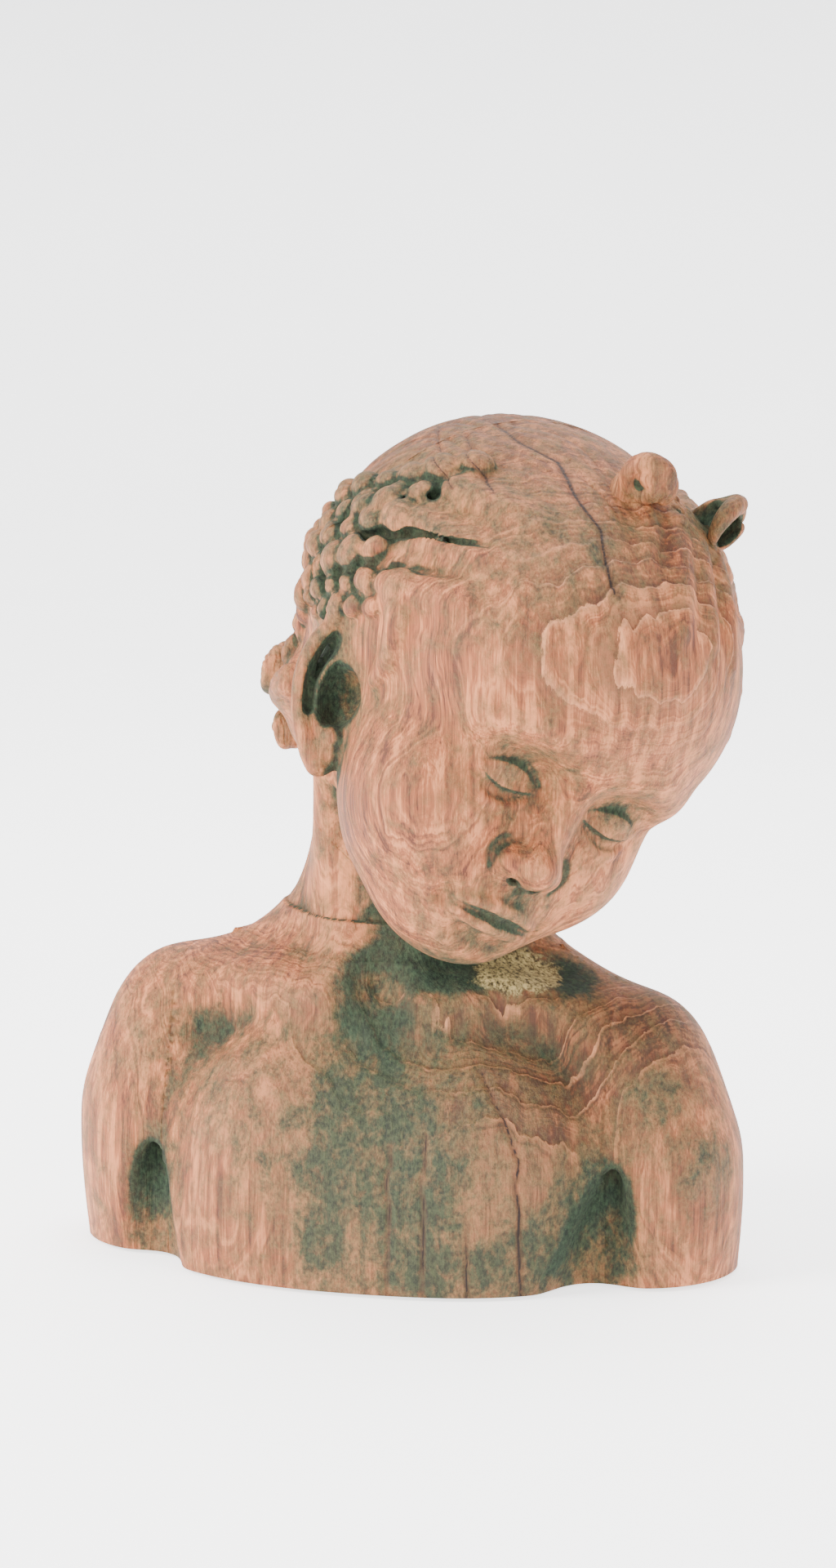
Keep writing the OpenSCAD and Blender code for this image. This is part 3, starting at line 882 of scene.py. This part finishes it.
class Nodes:
    """A small helper for building a material's nodes."""

    def __init__(self, name):
        self.material = bpy.data.materials.new(name)
        self.material.use_nodes = True
        self.tree = self.material.node_tree
        self.shader = self.tree.nodes["Principled BSDF"]

    def node(self, kind, **values):
        node = self.tree.nodes.new(kind)
        for key, value in values.items():
            setattr(node, key, value)
        return node

    def link(self, value, socket):
        if isinstance(value, bpy.types.NodeSocket):
            self.tree.links.new(value, socket)
        else:
            socket.default_value = value

    def attribute(self, name):
        return self.node("ShaderNodeAttribute", attribute_name=name).outputs["Fac"]

    def coordinates(self, scale, offset=(0, 0, 0)):
        place = self.node("ShaderNodeTexCoord").outputs["Object"]
        mapping = self.node("ShaderNodeMapping")
        self.link(place, mapping.inputs["Vector"])
        mapping.inputs["Scale"].default_value = scale
        mapping.inputs["Location"].default_value = offset
        return mapping.outputs["Vector"]

    def noise(self, scale, detail=4.0, roughness=0.55, distortion=0.0, offset=(0, 0, 0)):
        node = self.node("ShaderNodeTexNoise")
        self.link(self.coordinates(scale, offset), node.inputs["Vector"])
        node.inputs["Scale"].default_value = 1
        node.inputs["Detail"].default_value = detail
        node.inputs["Roughness"].default_value = roughness
        node.inputs["Distortion"].default_value = distortion
        return node.outputs["Fac"]

    def math(self, operation, a, b=0.0, c=0.0):
        node = self.node("ShaderNodeMath", operation=operation)
        for value, socket in zip((a, b, c), node.inputs):
            self.link(value, socket)
        return node.outputs[0]

    def ramp(self, value, low, high, start=0.0, end=1.0):
        """Straight from start at low to end at high, and level beyond."""
        node = self.node("ShaderNodeMapRange", interpolation_type="SMOOTHSTEP")
        inputs = {"Value": value, "From Min": low, "From Max": high, "To Min": start, "To Max": end}
        for key, v in inputs.items():
            self.link(v, node.inputs[key])
        return node.outputs[0]

    def sway(self, value, strength, around):
        """Something moved up and down by a value that swings about one half."""
        return self.math("MULTIPLY_ADD", self.math("SUBTRACT", value, 0.5), strength, around)

    def mix(self, factor, a, b, blend="MIX"):
        node = self.node("ShaderNodeMix", data_type="RGBA", blend_type=blend)
        self.link(factor, node.inputs["Factor"])
        self.link(a, node.inputs[6])
        self.link(b, node.inputs[7])
        return node.outputs[2]

    def bump(self, height, distance, strength=1.0, normal=None):
        node = self.node("ShaderNodeBump")
        self.link(height, node.inputs["Height"])
        node.inputs["Distance"].default_value = distance
        node.inputs["Strength"].default_value = strength
        if normal is not None:
            self.link(normal, node.inputs["Normal"])
        return node.outputs["Normal"]


def carved_wood():
    m = Nodes("carved_wood")
    streak = m.noise((240, 240, 8), 6, 0.62)
    fibre = m.noise((1500, 1500, 40), 4, 0.6, offset=(3, 1, 4))
    cloud = m.noise((18, 18, 12), 4, 0.55, offset=(5, 2, 7))
    mottle = m.noise((120, 120, 95), 7, 0.72, 0.3, offset=(1, 8, 2))
    speck = m.noise((620, 620, 420), 5, 0.75, offset=(9, 4, 1))

    # Fine grain lines that follow the growth rings
    ring = m.attribute("ring")
    spot = m.node("ShaderNodeSeparateXYZ")
    m.link(m.coordinates((1, 1, 1)), spot.inputs[0])
    along = m.node("ShaderNodeCombineXYZ")
    m.link(m.math("MULTIPLY", ring, 5.5), along.inputs[0])
    m.link(m.math("MULTIPLY", spot.outputs[2], 9), along.inputs[1])
    lines = m.node("ShaderNodeTexNoise")
    lines.inputs["Scale"].default_value = 1
    lines.inputs["Detail"].default_value = 5
    lines.inputs["Roughness"].default_value = 0.6
    m.link(along.outputs[0], lines.inputs["Vector"])
    grain = lines.outputs["Fac"]

    # Growth rings: each is palest at its edge and darkens towards the next one. This is partly the wood's
    # own ring colour and partly painted light, a painted highlight along each weathered step's edge and
    # painted shade in the low ground before it
    stepped = m.attribute("stepped")
    ragged = m.math("MULTIPLY_ADD", m.noise((900, 900, 60), 3, 0.6, offset=(2, 2, 2)), 0.16, ring)
    part = m.math("FRACT", ragged)
    late_wood_and_shade = m.math("MULTIPLY", m.ramp(part, 0.5, 0.99), m.ramp(stepped, 0.0, 0.8, 0.12, 0.62))
    edge = m.math("MULTIPLY", m.ramp(part, 0.0, 0.14, 1.0, 0.0), m.ramp(stepped, 0.0, 0.8, 0.08, 0.5))

    tone = m.sway(streak, 2.2, 0.58)
    tone = m.sway(grain, 1.9, tone)
    tone = m.sway(cloud, 1.1, tone)
    tone = m.sway(fibre, 1.1, tone)
    low = m.mix(m.ramp(tone, 0.05, 0.5), linear(84, 38, 16), linear(140, 76, 40))
    colour = m.mix(m.ramp(tone, 0.45, 0.95), low, linear(190, 118, 74))
    colour = m.mix(m.math("MULTIPLY", m.attribute("brown"), m.ramp(tone, 0.3, 0.9, 0.95, 0.62)), colour,
                   linear(50, 28, 12))
    # Painted shade in the low ground before each step and a painted highlight along the step's edge,
    # strongest where the rings stand as steps
    colour = m.mix(late_wood_and_shade, colour, linear(70, 32, 16))
    colour = m.mix(edge, colour, linear(214, 146, 102))

    # Green stain: mottled where damp has lain, and deep in the recesses. The wood's own stain is joined
    # there by painted shade, which makes sheltered parts greener and darkens recesses towards near black
    stain, recess, broad_shade = m.attribute("stain"), m.attribute("recess"), m.attribute("broad_shade")
    blotch = m.sway(mottle, 2.6, m.math("MULTIPLY", cloud, 0.5))
    damp_and_shade = m.math("MULTIPLY_ADD", stain, 0.8, blotch)
    # Sheltered parts turn greener: partly the wood's stain, partly painted shade
    damp_and_shade = m.math("MULTIPLY_ADD", broad_shade, 0.2, damp_and_shade)
    olive = m.ramp(damp_and_shade, 0.0, 0.85, 0.0, 0.9)
    teal = m.ramp(damp_and_shade, 0.55, 1.2, 0.0, 0.9)
    # Painted shade: deep grows in recesses and sheltered parts and mixes the colour towards near black
    # green
    deep = m.sway(mottle, 0.5, recess)
    deep = m.math("MULTIPLY_ADD", broad_shade, 0.12, deep)
    deep = m.math("MULTIPLY_ADD", m.math("MULTIPLY", stain, m.math("ADD", recess, broad_shade)), 0.5, deep)
    dark = m.mix(m.ramp(speck, 0.3, 0.72), linear(10, 20, 12), linear(44, 62, 42))
    colour = m.mix(m.math("MULTIPLY", olive, 0.8), colour,
                   m.mix(m.ramp(speck, 0.32, 0.68), linear(56, 46, 22), linear(120, 96, 56)))
    colour = m.mix(teal, colour, m.mix(m.ramp(speck, 0.32, 0.7), linear(12, 25, 16), linear(50, 64, 40)))
    colour = m.mix(m.ramp(deep, 0.26, 0.6, 0.0, 0.93), colour, dark)

    # Pale moss on the collar
    moss = m.sway(mottle, 0.9, m.attribute("moss"))
    mossy = m.ramp(moss, 0.42, 0.62)
    tuft = m.mix(m.ramp(speck, 0.36, 0.62), linear(60, 48, 22), linear(206, 180, 118))
    colour = m.mix(mossy, colour, tuft)

    # Drying checks: a dark gap with a soft dark margin
    gap = m.attribute("check")
    colour = m.mix(m.ramp(gap, 0.0, 1.6, 0.4, 0.0), colour, linear(84, 48, 32))
    colour = m.mix(m.ramp(gap, -0.1, 0.35, 1.0, 0.0), colour, linear(36, 22, 16))

    m.link(colour, m.shader.inputs["Base Color"])
    m.link(m.ramp(m.math("MULTIPLY_ADD", deep, 0.6, m.math("MULTIPLY", streak, 0.5)), 0.1, 0.8, 0.58, 0.92),
           m.shader.inputs["Roughness"])
    m.shader.inputs["Specular IOR Level"].default_value = 0.35
    relief = m.bump(m.math("ADD", grain, streak), 0.0009, 0.8)
    relief = m.bump(fibre, 0.0003, 0.8, relief)
    growth = m.math("MAXIMUM", olive, m.math("MULTIPLY", mossy, 4.0))
    relief = m.bump(m.math("MULTIPLY", speck, growth), 0.0007, 0.8, relief)
    m.link(relief, m.shader.inputs["Normal"])
    return m.material


def plain_wood(name, dark, light):
    """Sawn or turned wood, with straight grain along X."""
    m = Nodes(name)
    grain = m.noise((8, 300, 300), 5, 0.6, 0.5)
    pores = m.noise((60, 1800, 1800), 3, 0.6, offset=(2, 0, 5))
    colour = m.mix(m.ramp(grain, 0.3, 0.7), dark, light)
    colour = m.mix(m.ramp(pores, 0.58, 0.75, 0.0, 0.5), colour, dark)
    m.link(colour, m.shader.inputs["Base Color"])
    m.link(m.ramp(grain, 0.2, 0.8, 0.55, 0.75), m.shader.inputs["Roughness"])
    m.link(m.bump(m.math("ADD", grain, pores), 0.0004, 0.6), m.shader.inputs["Normal"])
    return m.material


def brass():
    m = Nodes("dull_brass")
    tarnish = m.noise((500, 500, 500), 5, 0.6)
    colour = m.mix(m.ramp(tarnish, 0.35, 0.7), linear(176, 140, 72), linear(96, 78, 48))
    m.link(colour, m.shader.inputs["Base Color"])
    m.shader.inputs["Metallic"].default_value = 1
    m.link(m.ramp(tarnish, 0.3, 0.7, 0.28, 0.6), m.shader.inputs["Roughness"])
    m.link(m.bump(tarnish, 0.0001, 0.5), m.shader.inputs["Normal"])
    return m.material


def felt():
    m = Nodes("green_felt")
    fuzz = m.noise((2600, 2600, 2600), 5, 0.7, 1.0)
    lint = m.noise((500, 500, 500), 4, 0.6, offset=(4, 4, 1))
    colour = m.mix(m.ramp(fuzz, 0.3, 0.7), linear(18, 34, 28), linear(46, 66, 54))
    colour = m.mix(m.ramp(lint, 0.62, 0.75, 0.0, 0.4), colour, linear(88, 96, 80))
    m.link(colour, m.shader.inputs["Base Color"])
    m.shader.inputs["Roughness"].default_value = 0.95
    m.shader.inputs["Sheen Weight"].default_value = 0.3
    m.link(m.bump(fuzz, 0.0005, 0.9), m.shader.inputs["Normal"])
    return m.material


def paint(piece, material):
    piece.data.materials.clear()
    piece.data.materials.append(material)


# ---- the pieces ----
WOOD = carved_wood()
# Grid steps of the meshes
FINE = 1.0
TRUNK_STEP = 1.5
CURL_STEP = 0.7
GLUE = 0.12  # how far each block runs past its glue plane


def plane(axis, at, keep_below, place=None):
    """A cut square to one axis, a hair past the glue plane. Positive on the side that is cut away."""
    def cut(p):
        q = p if place is None else place.inside(p)
        return (q[:, axis] - at) * (1 if keep_below else -1) - GLUE
    return cut


def head_seat(keep_head):
    """The slanted glue plane between neck and head."""
    normal = HEAD.axes @ turn("x", SEAT_SLOPE) @ np.array([0, 0, 1])
    at = HEAD.outside(SEAT_POINT)

    def cut(p):
        return ((p - at) @ normal) * (-1 if keep_head else 1) - GLUE
    return cut


def board_seat(p):
    """The recess under the torso that takes the base board. Positive inside the recess."""
    x = np.maximum(np.abs(p[:, 0]) - BOARD_HALF_SPAN, 0)
    round_end = np.hypot(x, p[:, 1] - BOARD_Y) - BOARD_R - BOARD_PLAY
    return -np.maximum(round_end, p[:, 2] - FOOT - BOARD_T)


def wooden(node, form, box, step, place=None, cutters=()):
    """The carved piece that stands for one node."""
    piece = carved(node + "_carved", form, box, step, place, cutters)
    paint(piece, WOOD)
    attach(piece, "root")
    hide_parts(node)


floor_cut = plane(2, FOOT + GLUE, False)
neck_below, neck_above = plane(2, NECK_PLANE, True), plane(2, NECK_PLANE, False)
right_cut, left_cut = plane(0, -ARM_PLANE, False), plane(0, ARM_PLANE, True)
torso_cuts = [floor_cut, neck_below, right_cut, left_cut, board_seat]
# The corners of the room each block is meshed in, its grid step and its cuts
BLOCKS = {
    "chest_block": (((-93, -80, -2), (93, 15, 132)), TRUNK_STEP,
                    torso_cuts + [plane(1, CHEST_PLANE, True)]),
    "back_block": (((-93, 9, -2), (93, 84, 132)), TRUNK_STEP,
                   torso_cuts + [plane(1, CHEST_PLANE, False)]),
    "right_arm_block": (((-148, -50, -2), (-87, 70, 150)), TRUNK_STEP,
                        [floor_cut, plane(0, -ARM_PLANE, True)]),
    "left_arm_block": (((87, -50, -2), (150, 70, 150)), TRUNK_STEP,
                       [floor_cut, plane(0, ARM_PLANE, False)]),
    "neck_block": (((-93, -60, 126), (93, 80, 225)), FINE,
                   [neck_above, right_cut, left_cut, head_seat(False)]),
    "face_block": (((-60, -125, 126), (150, 80, 350)), FINE,
                   [plane(1, SKULL_PLANE, True, HEAD), head_seat(True), neck_above]),
    "back_of_head_block": (((-75, -60, 126), (130, 105, 350)), FINE,
                           [plane(1, SKULL_PLANE, False, HEAD), head_seat(True), neck_above]),
}
for name, (corners, step, cuts) in BLOCKS.items():
    wooden(name, bust, corners, step, cutters=cuts)

for name, form, s in (("topknot_right_loop", topknot_right, -1), ("topknot_knot", topknot_knot, 0),
                      ("topknot_left_loop", topknot_left, 1)):
    spot = Place((s * TOPKNOT_STEP, 0, 0), np.eye(3)).within(TOPKNOT)
    wooden(name, form, ((-22, -24, -14), (24, 24, 30)), CURL_STEP, spot)
for name, (at, tilt, swing, radius) in NAPE.items():
    spot = Place(at, turn("z", swing) @ turn("x", tilt)).within(HEAD)
    corner = np.full(3, 2.2 * radius)
    wooden(f"nape_curl_{name}", nape_curl(radius), (-corner, corner), CURL_STEP, spot)


def felt_disc(centre, radius, points, faces):
    """A felt disc with a rounded, slightly uneven rim."""
    around = 96
    profile = [(radius - 1.0, 0.0), (radius - 0.25, 0.12), (radius, 0.8), (radius - 0.25, FOOT - 0.12),
               (radius - 1.0, FOOT)]
    first = len(points)
    for r, z in profile:
        for n in range(around):
            a = 2 * math.pi * n / around
            out = r + 0.12 * math.sin(7 * a) + 0.08 * math.sin(17 * a + 1)
            x, y = centre[0] + out * math.cos(a), centre[1] + out * math.sin(a)
            points.append((x * MM, y * MM, z * MM))
    for k in range(len(profile) - 1):
        for n in range(around):
            a, b = first + k * around + n, first + k * around + (n + 1) % around
            faces.append((a, b, b + around, a + around))
    faces.append([first + n for n in range(around)][::-1])
    faces.append([first + (len(profile) - 1) * around + n for n in range(around)])


def felt_pads():
    points, faces = [], []
    for centre, radius in PADS:
        felt_disc(centre, radius, points, faces)
    mesh = bpy.data.meshes.new("felt_pads_soft")
    mesh.from_pydata(points, [], faces)
    mesh.validate()
    pads = put("felt_pads_soft", mesh)
    paint(pads, felt())
    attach(pads, "root")
    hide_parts("felt_pads")


felt_pads()
dowel = plain_wood("dowel_wood", linear(120, 84, 54), linear(176, 134, 92))
for node in ("torso_dowels", "shoulder_dowels", "neck_peg", "skull_dowels", "curl_pegs"):
    paint(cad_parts[node], dowel)
board = plain_wood("base_board_wood", linear(104, 70, 46), linear(150, 108, 74))
paint(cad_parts["base_board"], board)
paint(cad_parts["base_screws"], brass())

# ---- floor, light and camera ----


def backdrop():
    """A pale floor that curves up into a wall behind the bust, with a painted glow that is strongest on the
    floor and fades up the lower wall.
    """
    depth, rise, radius, half = 5.0, 6.0, 2.2, 8.0
    profile = [(-6, 0), (depth - radius, 0)]
    profile += [(depth - radius + radius * math.sin(a), radius - radius * math.cos(a))
                for a in np.linspace(0, math.pi / 2, 24)[1:]]
    profile.append((depth, rise))
    points = [(x, y, z) for y, z in profile for x in (-half, half)]
    faces = [(2 * i, 2 * i + 1, 2 * i + 3, 2 * i + 2) for i in range(len(profile) - 1)]
    mesh = bpy.data.meshes.new("backdrop")
    mesh.from_pydata(points, [], faces)
    mesh.shade_smooth()
    sheet = put("backdrop", mesh)
    m = Nodes("glowing_backdrop_paper")
    cloud = m.noise((3, 3, 3), 3)
    colour = m.mix(m.ramp(cloud, 0.3, 0.7), (0.86, 0.86, 0.87, 1), (0.90, 0.90, 0.90, 1))
    m.link(colour, m.shader.inputs["Base Color"])
    m.shader.inputs["Roughness"].default_value = 0.8
    # Painted light: the backdrop glows, most on the floor and less up the wall
    m.shader.inputs["Emission Color"].default_value = (1, 0.99, 0.98, 1)
    spot = m.node("ShaderNodeSeparateXYZ")
    m.link(m.coordinates((1, 1, 1)), spot.inputs[0])
    m.link(m.ramp(spot.outputs[2], 0.0, 1.6, 2.2, 0.5), m.shader.inputs["Emission Strength"])
    paint(sheet, m.material)


def lamp(name, at, size, power, colour=(1, 1, 1)):
    """A square light that points at the bust."""
    light = bpy.data.lights.new(name, "AREA")
    light.size = size
    light.energy = power
    light.color = colour
    holder = put(name, light)
    holder.location = at
    holder.rotation_euler = (Vector(at) - Vector((0, 0, 0.2))).to_track_quat("Z", "Y").to_euler()


def sky():
    world = bpy.data.worlds.new("studio")
    world.use_nodes = True
    back = world.node_tree.nodes["Background"]
    back.inputs["Color"].default_value = (0.94, 0.97, 1.0, 1)
    back.inputs["Strength"].default_value = 1.35
    bpy.context.scene.world = world


def camera():
    azimuth, elevation, distance = math.radians(15), math.radians(9), 1.6
    back = Vector((math.sin(azimuth) * math.cos(elevation), -math.cos(azimuth) * math.cos(elevation),
                   math.sin(elevation)))
    eye = bpy.data.cameras.new("camera")
    eye.lens = 92
    holder = put("camera", eye)
    holder.location = Vector((0.006, 0.0016, 0.1933)) + back * distance
    holder.rotation_euler = back.to_track_quat("Z", "Y").to_euler()
    bpy.context.scene.camera = holder


backdrop()
sky()
lamp("key", (-1.7, -1.3, 1.3), 1.0, 125, (1, 0.97, 0.93))
lamp("fill", (1.7, -1.2, 1.0), 1.6, 16, (1, 0.96, 0.92))
lamp("top", (0.1, 0.4, 2.0), 1.2, 45)
camera()
